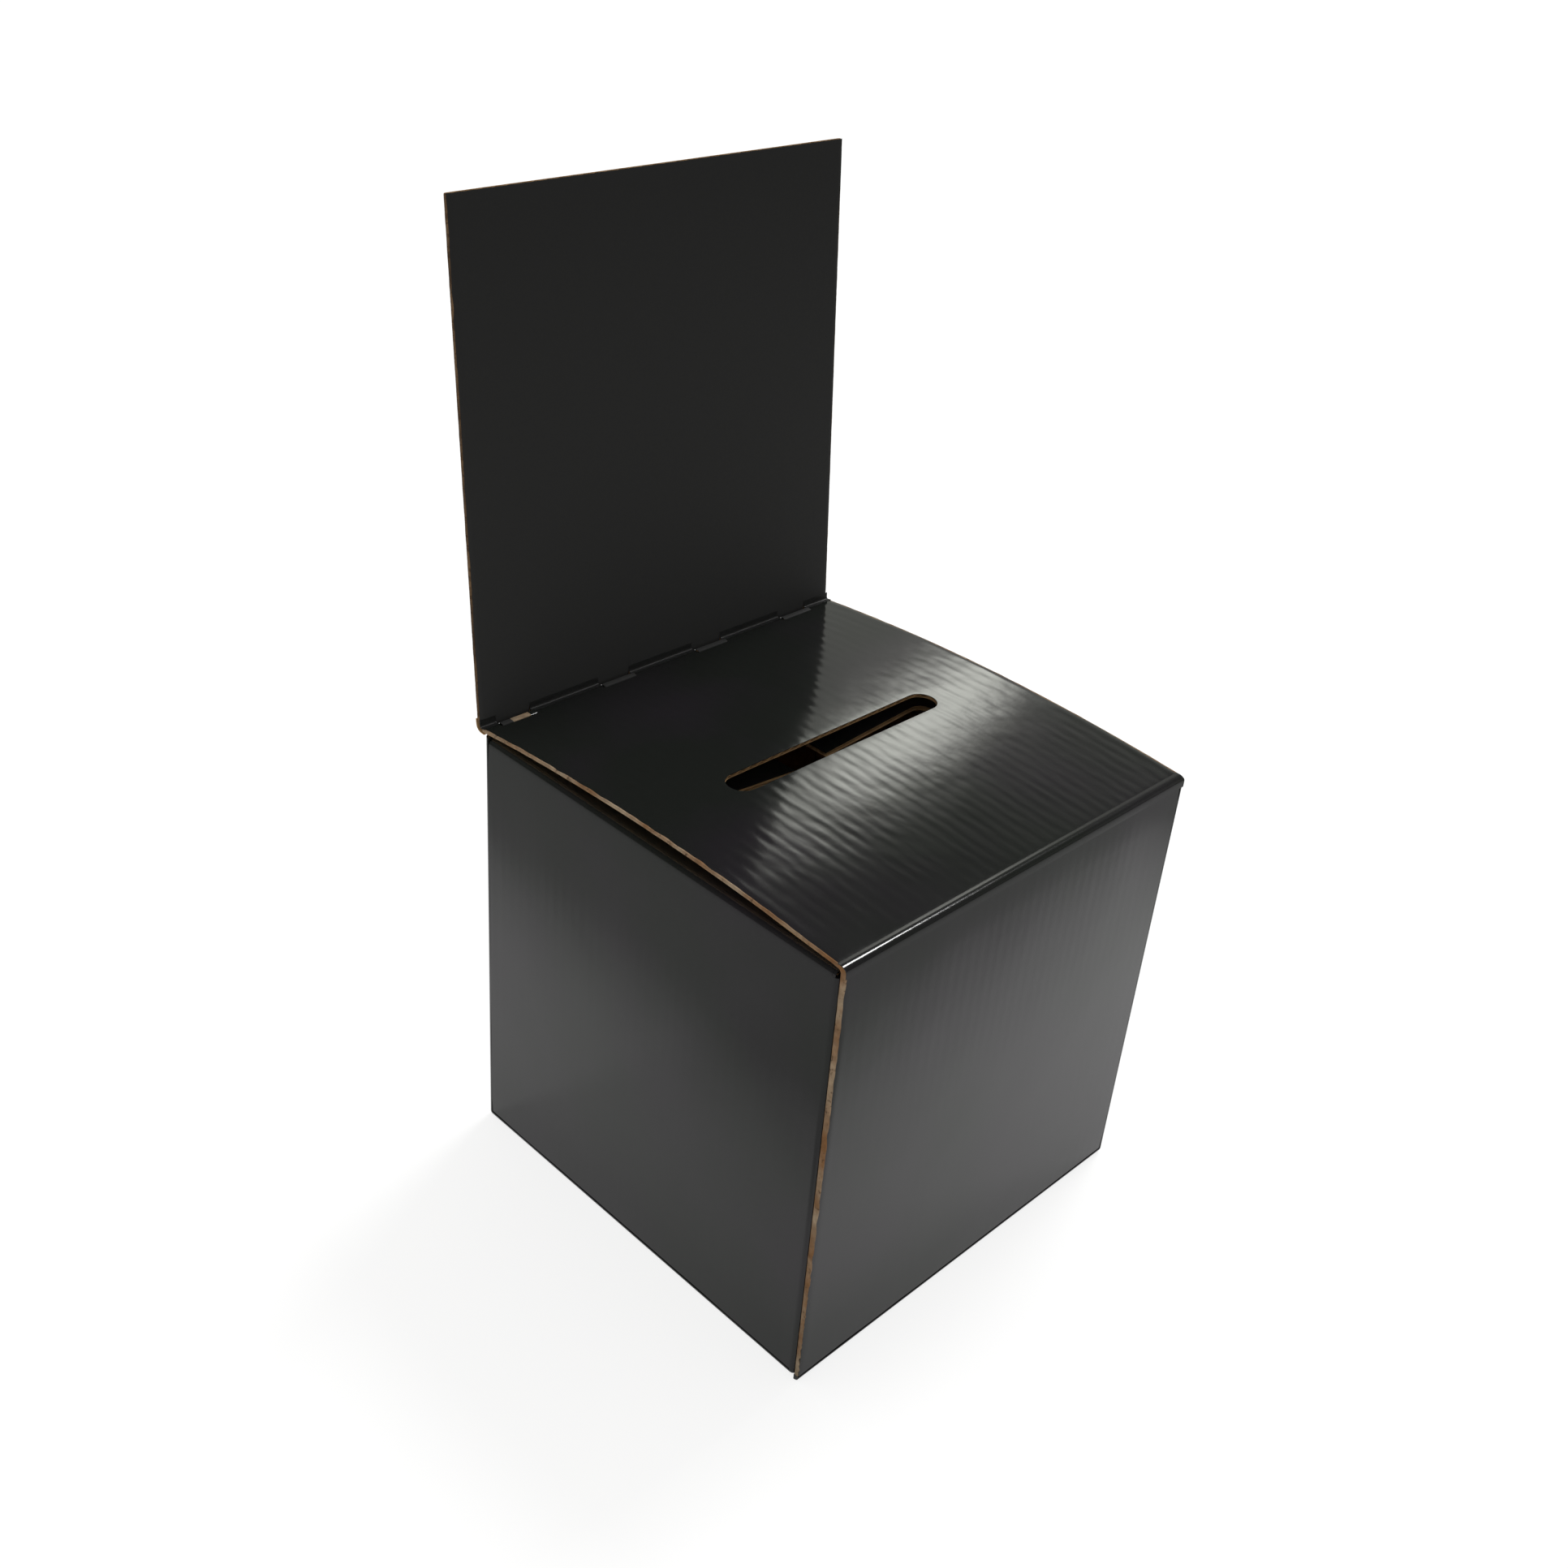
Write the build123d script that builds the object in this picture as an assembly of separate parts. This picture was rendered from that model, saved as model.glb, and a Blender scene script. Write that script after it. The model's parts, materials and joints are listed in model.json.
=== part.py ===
from build123d import *
from math import asin, atan2, degrees, tan
import os

# A ballot box folded from one blank of corrugated board: a square tube with a glued seam, a bottom that
# is folded and locked, two dust flaps under a crowned lid with a ballot slot, and a header card that
# stands up from the lid's rear edge.
# Millimetres. The origin is the middle of the base, on the floor. +X is right, +Y is back, +Z is up.

# Outside sizes of the closed box
box_width = 228.6
box_depth = 228.6
closed_height = 231.8  # floor to the lid's top face at its front and rear ends
lid_crown = 5.5  # how far the lid bows up half way back
header_height = 234.0  # the header card is as wide as the box
header_lean_deg = 4.3  # the header leans back by this from upright

# The board: a printed outer liner, fluted paper and a brown inner liner
outer_liner = 0.3
flute_height = 2.4
inner_liner = 0.3
medium = 0.25  # thickness of the fluted paper
flute_pitch = 6.5
crest_share = 0.2  # part of a flute's pitch that lies flat, glued to a liner
board = outer_liner + flute_height + inner_liner

# Clearances
crease_clearance = 0.3  # between a crease and the panels that turn on it
lid_to_flap = 0.8  # under the lid's ends, above the dust flaps
lap_clearance = 0.1  # between bottom flaps that lie on each other
seam_clearance = 0.3  # between bottom flaps that meet edge to edge
tab_clearance = 0.5  # on each side of a lock tab in its cut
overrun = 10.0  # how far a cutting tool runs past what it cuts

# The ballot slot in the lid
slot_length = 134.0
slot_width = 15.5
slot_right = 1.5  # middle of the slot, right of the box's middle
slot_back = 2.7  # middle of the slot, behind the box's middle

# The dust flaps under the lid, which reach in from the side walls
dust_flap_gap = 20.6  # between the free ends of the two flaps
dust_flap_side_gap = 0.8  # to the front wall or glue flap, and to the back wall
dust_flap_taper = 5.0  # how much each side edge draws in at the free end
left_droop_deg = 5.0
right_droop_deg = 4.0
notch_width = 26.0  # the open notch below the slot
notch_past_slot = 8.0
notch_corner = 6.0

# The header's crease and its row of cuts, which the back wall's lock tabs stand in
header_setback = 2.4  # the crease's axis, behind the back wall's outer face
header_crease_rise = 0.3  # the crease's axis, above the lid's top face
header_crease_radius = 1.0
cut_count = 4
cut_length = 19.7
cut_left_margin = 8.825  # from the box's left side to the first cut
cut_right_margin = 17.825  # from the last cut to the box's right side
cut_ahead_of_tab = 0.4  # between a lock tab and the lid in front of it
tab_rise = 0.4  # of the tabs over the closed height, which brings them level with the crowned lid
header_tongue = 2.0  # how far the header reaches below its crease's axis, in the cuts
header_tongue_clearance = 0.2  # at each end of a cut

# The glue flap behind the front wall, at the left front corner
glue_flap_width = 32.0
glue_flap_taper = 12.0
glue_flap_end_gap = 8.0  # to the floor flaps below and the wall's top above
glue_thickness = 0.1
glue_margin = 5.0

# The bottom
bottom_seam_share = 0.58  # where the front and back flaps meet, from the front
side_flap_length = 70.0
side_flap_inset = 4.5  # each end, from the front and back walls
bottom_tongue_side_gap = 6.3  # on each side, to the side flaps
bottom_tongue_root = 25.0  # part of the tongue that lies over its own flap
bottom_tongue_reach = 45.0  # part of the tongue that lies over the other flap

# Faces and axes that several pieces share
half_width = box_width / 2
half_depth = box_depth / 2
inner_x = half_width - board
inner_y = half_depth - board
crease_gap = board / 2 + crease_clearance
lid_crease_y = -half_depth + board / 2
lid_crease_z = closed_height - board / 2
lid_front = lid_crease_y + crease_gap
front_top = lid_crease_z - crease_gap
header_crease_y = half_depth + header_setback
header_crease_z = closed_height + header_crease_rise
header_gap = header_crease_radius + crease_clearance
lid_rear = header_crease_y - header_gap
flap_fold_radius = board + crease_clearance
flap_pivot_x = half_width - flap_fold_radius
side_top = closed_height - board - lid_to_flap - flap_fold_radius
seam_y = -inner_y + 2 * inner_y * bottom_seam_share
bottom_tongue_width = 2 * (inner_x - side_flap_length - bottom_tongue_side_gap)
cut_row = box_width - cut_left_margin - cut_right_margin - cut_length
glue_flap_outer = -inner_y + glue_thickness
left_fold_y = glue_flap_outer + board

LEFT = Vector(-1, 0, 0)
RIGHT = Vector(1, 0, 0)
FRONT = Vector(0, -1, 0)
BACK = Vector(0, 1, 0)
DOWN = Vector(0, 0, -1)
UP = Vector(0, 0, 1)

nodes = {}


def block(x, y, z):
    """A box between the two values of each of x, y and z."""
    size = (x[1] - x[0], y[1] - y[0], z[1] - z[0])
    return Solid.make_box(*size, plane=Plane((x[0], y[0], z[0])))


def slab(points, z):
    """A plate with a straight-sided outline, between the two values of z."""
    outline = Wire.make_polygon([(x, y, z[0]) for x, y in points])
    return Solid.extrude(Face(outline), (0, 0, z[1] - z[0]))


def section(points, shift=(0, 0)):
    """A flat face that stands across the flutes, from its points across and up."""
    return Face(Wire.make_polygon([(x + shift[0], 0, z + shift[1]) for x, z in points]))


def fluting_points(width):
    """The fluted paper's outline across its flutes: along its upper side, then back below."""
    count = max(1, round(width / flute_pitch))
    pitch = width / count
    flat = pitch * crest_share / 2
    rise = flute_height - medium
    miter = medium / 2 * tan(atan2(rise, pitch / 2 - 2 * flat) / 2)
    low = inner_liner
    upper = [(0, low + medium)]
    lower = [(0, low)]
    for k in range(count):
        foot = k * pitch
        crest = foot + pitch / 2
        upper += [
            (foot + flat - miter, low + medium),
            (crest - flat - miter, low + medium + rise),
            (crest + flat + miter, low + medium + rise),
            (foot + pitch - flat + miter, low + medium),
        ]
        lower += [
            (foot + flat + miter, low),
            (crest - flat + miter, low + rise),
            (crest + flat - miter, low + rise),
            (foot + pitch - flat - miter, low),
        ]
    upper.append((width, low + medium))
    lower.append((width, low))
    return upper + lower[::-1]


def ply_outlines(width):
    """The outlines across the flutes of the outer liner, the fluted paper and the inner liner."""
    top = board - outer_liner
    outer = [(0, top), (width, top), (width, board), (0, board)]
    inner = [(0, 0), (width, 0), (width, inner_liner), (0, inner_liner)]
    return [outer, fluting_points(width), inner]


def flat_board(width, length):
    """The three plies of a flat panel: flutes along Y, the inner face at Z 0 and the printed face up."""
    return [Solid.extrude(section(points), (0, length, 0)) for points in ply_outlines(width)]


def cut(plies, *tools):
    """The plies with every tool taken away."""
    result = []
    for ply in plies:
        for tool in tools:
            ply = ply - tool
        result.append(ply)
    return result


def trim(plies, outline):
    """The plies inside a straight-sided outline."""
    keep = slab(outline, (-overrun, board + overrun))
    return [ply & keep for ply in plies]


def place(plies, corner, flutes, outward):
    """Stand the plies with their corner, the way that their flutes run and their printed side as given."""
    frame = Plane(origin=corner, x_dir=flutes.cross(outward), z_dir=outward)
    return [frame.location * ply for ply in plies]


def add_panel(name, plies):
    """Keep a panel's three plies as nodes."""
    for ply, kind in zip(plies, ("outer_liner", "fluting", "inner_liner")):
        nodes[name + "_" + kind] = ply


def fold(corner, along, first, length, radius):
    """A folded edge: a quarter round about a line from corner, starting at the direction called first."""
    frame = Plane(origin=corner, x_dir=first, z_dir=along)
    return frame.location * Solid.make_cylinder(radius, length, angle=90)


def bead(y, z, radius, x):
    """A rolled crease along X between the two values of x."""
    frame = Plane(origin=(x[0], y, z), z_dir=RIGHT)
    return frame.location * Solid.make_cylinder(radius, x[1] - x[0])


def cut_edges(clearance, start, end):
    """Places along a row from start to end: its ends, and both sides of what stands in each cut."""
    half = cut_length / 2 - clearance
    edges = [start]
    for middle in cut_middles():
        edges += [middle - half, middle + half]
    return edges + [end]


def cut_middles():
    """Where the middles of the crease's cuts are, left to right."""
    first = -half_width + cut_left_margin + cut_length / 2
    return [first + cut_row * k / (cut_count - 1) for k in range(cut_count)]


# The tube's four walls

def front_wall():
    """The front wall, whose left edge is the raw edge of the blank."""
    plies = flat_board(half_width + inner_x, front_top - board)
    add_panel("front_wall", place(plies, (-half_width, -inner_y, board), UP, FRONT))


def right_wall():
    plies = flat_board(2 * inner_y, side_top - board)
    add_panel("right_wall", place(plies, (inner_x, -inner_y, board), UP, RIGHT))


def left_wall():
    plies = flat_board(inner_y - left_fold_y, side_top - board)
    add_panel("left_wall", place(plies, (-inner_x, inner_y, board), UP, LEFT))


def back_wall():
    """The back wall, with the lock tabs that stand up in the crease's cuts."""
    tab_top = closed_height + tab_rise
    plies = flat_board(2 * inner_x, tab_top - board)
    edges = cut_edges(tab_clearance, -inner_x - overrun, inner_x + overrun)
    shoulder = front_top - board
    tools = []
    for left, right in zip(edges[::2], edges[1::2]):
        span = (inner_x - right, inner_x - left)
        tools.append(block(span, (shoulder, tab_top), (-overrun, board + overrun)))
    plies = cut(plies, *tools)
    add_panel("back_wall", place(plies, (inner_x, inner_y, board), UP, BACK))


def upright_folds():
    """The tube's four folded corners. The left front one turns into the glue flap."""
    height = front_top - board
    left_height = side_top - board
    nodes["front_right_fold"] = fold((inner_x, -inner_y, board), UP, FRONT, height, board)
    nodes["back_right_fold"] = fold((inner_x, inner_y, board), UP, RIGHT, height, board)
    nodes["back_left_fold"] = fold((-inner_x, inner_y, board), UP, BACK, height, board)
    nodes["front_left_fold"] = fold((-inner_x, left_fold_y, board), UP, LEFT, left_height, board)


def glue_flap():
    """The flap behind the front wall's left edge, and the glue that holds it there."""
    low = glue_flap_end_gap + board
    length = side_top - board - low
    slope = glue_flap_taper
    outline = [(0, 0), (glue_flap_width, slope), (glue_flap_width, length - slope), (0, length)]
    plies = trim(flat_board(glue_flap_width, length), outline)
    add_panel("glue_flap", place(plies, (-inner_x, left_fold_y, low), UP, FRONT))
    x = (-inner_x + glue_margin, -inner_x + glue_flap_width - glue_margin)
    z = (low + slope + glue_margin, low + length - slope - glue_margin)
    nodes["seam_glue"] = block(x, (-inner_y, glue_flap_outer), z)


# The folded and locked bottom

def bottom_flaps():
    """The front and back flaps, which the box stands on, and the side flaps above them."""
    width = 2 * (inner_x - seam_clearance)
    right = inner_x - seam_clearance
    plies = flat_board(width, seam_y + inner_y)
    add_panel("front_bottom_flap", place(plies, (right, -inner_y, board), BACK, DOWN))
    plies = flat_board(width, inner_y - seam_y - seam_clearance)
    add_panel("back_bottom_flap", place(plies, (-right, inner_y, board), FRONT, DOWN))
    top = 2 * board + lap_clearance
    y = inner_y - side_flap_inset
    plies = flat_board(2 * y, side_flap_length)
    add_panel("left_bottom_flap", place(plies, (-inner_x, -y, top), RIGHT, DOWN))
    add_panel("right_bottom_flap", place(plies, (inner_x, y, top), LEFT, DOWN))


def bottom_tongue():
    """The front flap's tongue, which lies over the back flap and locks the bottom."""
    plies = flat_board(bottom_tongue_width, bottom_tongue_root + bottom_tongue_reach)
    top = 2 * board + lap_clearance
    corner = (bottom_tongue_width / 2, seam_y - bottom_tongue_root, top)
    add_panel("bottom_tongue", place(plies, corner, BACK, DOWN))


def bottom_folds():
    """The four folded edges that the walls stand on."""
    wide = half_width + inner_x
    left = inner_y - left_fold_y
    nodes["front_bottom_fold"] = fold((-half_width, -inner_y, board), RIGHT, FRONT, wide, board)
    nodes["back_bottom_fold"] = fold((inner_x, inner_y, board), LEFT, BACK, 2 * inner_x, board)
    nodes["left_bottom_fold"] = fold((-inner_x, inner_y, board), FRONT, LEFT, left, board)
    nodes["right_bottom_fold"] = fold((inner_x, -inner_y, board), BACK, RIGHT, 2 * inner_y, board)


# The dust flaps

def dust_flap(side):
    """One dust flap: side is -1 for the left one and 1 for the right one."""
    near = left_fold_y if side < 0 else -inner_y
    width = inner_y - near - 2 * dust_flap_side_gap
    length = flap_pivot_x - crease_clearance - dust_flap_gap / 2
    taper = dust_flap_taper
    outline = [(0, 0), (width, 0), (width - taper, length), (taper, length)]
    rear = inner_y - dust_flap_side_gap
    middle = rear - slot_back if side < 0 else slot_back - near - dust_flap_side_gap
    slot_end = slot_length / 2 + side * slot_right + notch_past_slot
    root = flap_pivot_x - crease_clearance - slot_end
    notch = block(
        (middle - notch_width / 2, middle + notch_width / 2),
        (root, length + overrun),
        (-overrun, board + overrun),
    )
    inner_edges = [e for e in notch.edges().filter_by(Axis.Z) if e.center().Y < root + notch_corner]
    plies = cut(trim(flat_board(width, length), outline), notch.fillet(notch_corner, inner_edges))
    start = flap_pivot_x - crease_clearance
    y = rear if side < 0 else near + dust_flap_side_gap
    corner = (side * start, y, side_top + crease_clearance)
    plies = place(plies, corner, RIGHT if side < 0 else LEFT, UP)
    pivot = Axis((side * flap_pivot_x, 0, side_top), (0, 1, 0))
    droop = left_droop_deg if side < 0 else -right_droop_deg
    add_panel("left_dust_flap" if side < 0 else "right_dust_flap", [p.rotate(pivot, droop) for p in plies])


def dust_flap_folds():
    """The folded top edges of the side walls, which the dust flaps turn on."""
    rear = inner_y - dust_flap_side_gap
    front = left_fold_y + dust_flap_side_gap
    right = 2 * rear
    radius = flap_fold_radius
    nodes["left_dust_flap_fold"] = fold((-flap_pivot_x, front, side_top), BACK, LEFT, rear - front, radius)
    nodes["right_dust_flap_fold"] = fold((flap_pivot_x, rear, side_top), FRONT, RIGHT, right, radius)


# The lid and the header

def crowned_board(width):
    """The three plies of the lid, bowed along its flutes from its front end to its rear end."""
    half_chord = (lid_rear - lid_front) / 2
    radius = (half_chord**2 + lid_crown**2) / (2 * lid_crown)
    middle = (lid_front + lid_rear) / 2
    axis = Axis((0, middle, closed_height + lid_crown - radius), (1, 0, 0))
    half_turn = degrees(asin(half_chord / radius))
    shift = (-width / 2, closed_height + lid_crown - board)
    plies = []
    for points in ply_outlines(width):
        face = section(points, shift).moved(Pos(0, middle, 0))
        plies.append(Solid.revolve(face, 2 * half_turn, axis).rotate(axis, -half_turn))
    return plies


def slot_tool():
    """The ballot slot's opening, as a solid that stands through the lid."""
    z = closed_height - board - overrun
    height = board + lid_crown + 2 * overrun
    reach = slot_length / 2 - slot_width / 2
    bar = block((-reach, reach), (-slot_width / 2, slot_width / 2), (0, height))
    for end in (-reach, reach):
        bar = bar + Pos(end, 0, 0) * Solid.make_cylinder(slot_width / 2, height)
    return Pos(slot_right, slot_back, z) * bar


def lid():
    tools = [slot_tool()]
    for middle in cut_middles():
        x = (middle - cut_length / 2, middle + cut_length / 2)
        y = (inner_y - cut_ahead_of_tab, lid_rear + overrun)
        tools.append(block(x, y, (closed_height - board - overrun, closed_height + overrun)))
    add_panel("lid", cut(crowned_board(box_width), *tools))


def header():
    """The header card, creased to stand up from the lid's rear edge."""
    below = header_gap + header_tongue
    plies = flat_board(box_width, below + header_height)
    edges = cut_edges(header_tongue_clearance, -half_width - overrun, half_width + overrun)
    tools = []
    for left, right in zip(edges[::2], edges[1::2]):
        span = (half_width + left, half_width + right)
        tools.append(block(span, (-overrun, below), (-overrun, board + overrun)))
    plies = cut(plies, *tools)
    rear_face = header_crease_y + crease_clearance + board
    plies = place(plies, (-half_width, rear_face, header_crease_z - header_tongue), UP, FRONT)
    axis = Axis((0, header_crease_y, header_crease_z), (1, 0, 0))
    add_panel("header", [ply.rotate(axis, -header_lean_deg) for ply in plies])


def creases():
    """The lid's crease over the front wall, and the header's crease in short runs between its cuts."""
    span = (-half_width, half_width)
    nodes["lid_crease"] = bead(lid_crease_y, lid_crease_z, board / 2, span)
    edges = cut_edges(0, -half_width, half_width)
    runs = zip(edges[::2], edges[1::2])
    beads = [bead(header_crease_y, header_crease_z, header_crease_radius, run) for run in runs]
    nodes["header_crease"] = Compound(beads)


def build():
    front_wall()
    right_wall()
    left_wall()
    back_wall()
    upright_folds()
    glue_flap()
    bottom_flaps()
    bottom_tongue()
    bottom_folds()
    dust_flap(-1)
    dust_flap(1)
    dust_flap_folds()
    lid()
    header()
    creases()


build()
os.makedirs("parts", exist_ok=True)
for node, shape in nodes.items():
    export_step(shape, "parts/" + node + ".step")
print(len(nodes), "nodes")
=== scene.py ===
import json
import math

import bmesh
import bpy
import numpy as np
from mathutils import Matrix, Vector, noise


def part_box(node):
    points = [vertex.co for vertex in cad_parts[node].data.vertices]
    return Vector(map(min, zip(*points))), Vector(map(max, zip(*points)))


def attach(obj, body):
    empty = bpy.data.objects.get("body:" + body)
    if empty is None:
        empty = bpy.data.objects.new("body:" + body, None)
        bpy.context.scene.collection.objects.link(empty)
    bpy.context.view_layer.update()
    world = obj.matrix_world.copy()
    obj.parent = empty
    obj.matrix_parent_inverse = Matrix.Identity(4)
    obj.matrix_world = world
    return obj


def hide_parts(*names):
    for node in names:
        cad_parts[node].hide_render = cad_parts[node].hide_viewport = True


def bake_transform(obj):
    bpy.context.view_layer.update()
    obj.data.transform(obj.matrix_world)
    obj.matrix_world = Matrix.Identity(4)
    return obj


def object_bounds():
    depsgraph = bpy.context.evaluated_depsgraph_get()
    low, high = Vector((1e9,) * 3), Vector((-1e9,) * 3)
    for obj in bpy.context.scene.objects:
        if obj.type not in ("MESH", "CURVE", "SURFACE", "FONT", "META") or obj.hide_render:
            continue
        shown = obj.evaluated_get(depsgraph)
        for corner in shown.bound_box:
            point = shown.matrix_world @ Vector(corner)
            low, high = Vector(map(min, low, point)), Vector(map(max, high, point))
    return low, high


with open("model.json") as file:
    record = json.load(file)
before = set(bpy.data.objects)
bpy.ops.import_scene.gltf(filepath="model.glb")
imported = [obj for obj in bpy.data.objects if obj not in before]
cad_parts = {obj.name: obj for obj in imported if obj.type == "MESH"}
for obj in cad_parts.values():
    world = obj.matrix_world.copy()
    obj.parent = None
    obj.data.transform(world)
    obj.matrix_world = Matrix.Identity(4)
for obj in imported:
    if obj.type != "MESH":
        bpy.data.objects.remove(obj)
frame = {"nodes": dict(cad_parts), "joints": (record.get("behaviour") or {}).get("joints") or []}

cad_low, cad_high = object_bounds()
MM = 0.001

# The board and its plies, in metres
LINER = 0.3 * MM  # thickness of the outer and of the inner liner
MEDIUM = 0.25 * MM  # thickness of the fluted paper
FLUTE_PITCH = 6.5 * MM
BOARD = 3.0 * MM
RIB_SAMPLES = 8  # faces across one flute
RIB_RELIEF = 0.032 * MM  # how deep the lid's and the dust flaps' outer liner dips between its ribs
WALL_RELIEF = 0.008 * MM  # the same on the walls and the header
INNER_RELIEF = 0.12 * MM  # and on every inner liner
RELIEF_PATCH = 24 * MM  # how large the patches are in which the ribs are deeper or shallower
OUTER_UNEVEN = 1.8  # how much deeper and shallower they are there
INNER_UNEVEN = 0.9
LID_WOBBLE = 0.13 * MM  # how deep the lid's outer liner wavers between and along its ribs
WALL_WOBBLE = 0.015 * MM  # the same on every other liner
RIPPLE = 5.0 * MM  # how far apart these waves are across the ribs
RIPPLE_STRETCH = 0.4  # that distance as a share of the one along the ribs
CRUSH_REACH = 3.0 * MM  # how far from a cut edge or a crease the board is pressed thin
CRUSH_SHARE = 0.16  # how much of the board's half thickness is lost at a crease
CRUSH_SPREAD = 0.3  # how much more or less that is from place to place
CRUSH = (CRUSH_SHARE, CRUSH_SHARE)  # the same at a cut side: of the upper half, and of the lower one
LID_CRUSH = (0.24, 0.72)
HEADER_CRUSH = (0.45, 0.6)
SLOT_CRUSH = (0.02, 0.6)
EDGE_SETBACK = 0.3 * MM  # how far the plies stop short of a raw edge, whose torn paper stands before them
WARP = 0.12 * MM  # how far a panel's surface wanders inwards
WARP_PATCH = 30 * MM  # how large its swells are
HEADER_LEAN = math.radians(4.3)
LEFT_DROOP = math.radians(5.0)
RIGHT_DROOP = math.radians(4.0)

# The torn paper of a raw, die-cut edge
EDGE_STEP = 0.8 * MM
EDGE_POINTS = 6  # faces across the edge
EDGE_SHARE = 1.05  # how much of the pressed board's thickness the torn paper covers
EDGE_BACK = 0.9  # how much of that is left at its back, inside the board
EDGE_DEPTH = 1.3 * MM  # how far inside its back is
EDGE_CALM = 8.0 * MM  # how far from a crease the torn paper begins to wander
EDGE_WAVE = 7 * MM  # how long its slow waves are
EDGE_SWELL = 0.08  # how much they change its thickness
EDGE_SLIDE = 0.12  # and how much they shift it
EDGE_FINE = 1.6 * MM  # how long its short waves are
EDGE_GRAIN = 1.2 * MM  # and its dents
EDGE_ROUGH = 0.07 * MM  # how deep both are
EDGE_BULGE = 0.25 * MM  # how far its two rims draw back from its middle
EDGE_RAGGED = 70.0 * MM  # how far up from a ragged end the paper is torn in bites
EDGE_BITE = 3 * MM  # how long a bite is
EDGE_BITTEN = 0.35  # how far the edge is bitten on the average

# The bent liners, and the feet at the box's four bottom corners
CREASE_STEP = 0.8 * MM
DENT_LONG = 5 * MM  # how long a crease's slow dents are
DENT_SHORT = 1.7 * MM  # and its short ones
DENT_SHORT_SHARE = 0.6  # how deep these are beside the slow ones
DENT_RISE = 4  # how quickly the dents deepen from the profile's two ends
CREASE_STOP = 0.9 * MM  # how far the lid crease stops short of the lid's right edge
CREASE_INNER_STOP = 3 * MM  # and its inner liner of both edges
FOLD_STEPS = 10
FOLD_PROUD = 0.02 * MM  # how far a dust flap's fold liner stands proud of the fold
FOLD_SINK = 0.04 * MM  # and how far it is let in again
FOLD_LONGER = 1.6 * MM  # how far it reaches past the fold's front end
FOLD_DROPS = (3.0, 2.0, 1.0)  # its points down the wall, in mm below the fold's axis
FOLD_REACHES = (1.0, 2.2, 3.4)  # and on the flap, in mm from the bend's end
FOOT_STEPS = 8
FOOT_DIP = math.radians(85)  # how far each rounded foot turns from upright towards the floor
FEET = {"front_left": (-1, -1), "front_right": (1, -1), "back_right": (1, 1), "back_left": (-1, 1)}

# The crease over the front wall, in mm from its axis: towards the back, and up
LID_CREASE_OUTSIDE = [
    (-1.47, -3.6), (-1.48, -2.8), (-1.48, -2.0), (-1.48, -1.3), (-1.47, -0.7), (-1.43, -0.2),
    (-1.3, 0.22), (-1.05, 0.58), (-0.68, 0.88), (-0.22, 1.15), (0.3, 1.38), (0.85, 1.55), (1.35, 1.64),
    (1.85, 1.67), (2.3, 1.67), (2.75, 1.66), (3.5, 1.66),
]
LID_CREASE_INSIDE = [
    (1.62, -3.4), (1.5, -2.5), (1.3, -1.9), (1.15, -1.35), (1.7, -1.2), (2.4, -1.3), (3.2, -1.4),
]
# The raw edge that turns with it: the outer and the inner side
CORNER_EDGE = [
    ((5.0, 1.5), (5.0, -0.12)), ((4.2, 1.44), (4.2, -0.2)), ((3.4, 1.4), (3.4, -0.28)),
    ((2.7, 1.38), (2.8, -0.38)), ((2.1, 1.36), (2.4, -0.5)), ((1.5, 1.3), (2.05, -0.68)),
    ((0.95, 1.16), (1.8, -0.9)), ((0.45, 0.98), (1.6, -1.15)), ((0.0, 0.78), (1.5, -1.4)),
    ((-0.4, 0.54), (1.42, -1.65)), ((-0.75, 0.24), (1.36, -1.95)), ((-1.0, -0.15), (1.33, -2.25)),
    ((-1.17, -0.75), (1.31, -2.6)), ((-1.26, -1.5), (1.31, -3.0)), ((-1.31, -2.4), (1.31, -3.5)),
    ((-1.32, -3.4), (1.31, -4.0)), ((-1.32, -4.5), (1.31, -4.5)),
]
CORNER_INSET = 0.02 * MM  # how far that edge stays behind the box's left side
CORNER_BULGE = 0.2 * MM  # how far its two rims draw back from its middle
CORNER_BACK = (0.95, 0.05)  # where its back begins and ends, as shares of its thickness

# The header's crease, in the same way: the printed liner in front, and the brown one behind
HEADER_CREASE_FRONT = [
    (-2.8, -0.14), (-2.0, -0.2), (-1.3, -0.33), (-0.7, -0.4), (-0.2, -0.3), (0.1, 0.0), (0.22, 0.5),
    (0.26, 1.2), (0.34, 2.0), (0.45, 2.8),
]
HEADER_CREASE_REAR = [
    (-2.6, -3.15), (-1.2, -3.2), (0.4, -3.1), (1.9, -2.4), (2.9, -1.2), (3.25, 0.2), (3.38, 1.6),
    (3.5, 2.8),
]

# The lid's slot, the row of cuts at the header's crease, and the tools that cut the flat plies
SLOT_LENGTH = 134.0 * MM
SLOT_WIDTH = 15.5 * MM
SLOT_MIDDLE = (1.5 * MM, 2.7 * MM)
SLOT_ROUND = 0.999  # its corners' radius beside half its width, so that no two corners meet in a point
SLOT_NOTCH = 26.0 * MM  # how wide the dust flaps' notch below it is
SLOT_NOTCH_PAST = 8.0 * MM
SLOT_NOTCH_CORNER = 6.0 * MM
FLAP_TAPER = 5.0 * MM
CUT_LENGTH = 19.7 * MM
CUT_STARTS = [(8.825 + 60.75 * k) * MM for k in range(4)]  # from the box's left side
LID_CUT_FRONT = 110.9 * MM
HEADER_HEIGHT = 234.0 * MM
TAB_SIDE_GAP = 0.5 * MM  # at each end of a cut, beside the back wall's tab
TONGUE_SIDE_GAP = 0.2 * MM  # and beside the header's tongue
OVERRUN = 5.0 * MM  # how far a tool reaches past the board's sides
TOOL_LOW = -5 * MM  # from where to where it reaches through the board
TOOL_HIGH = 8 * MM
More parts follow.
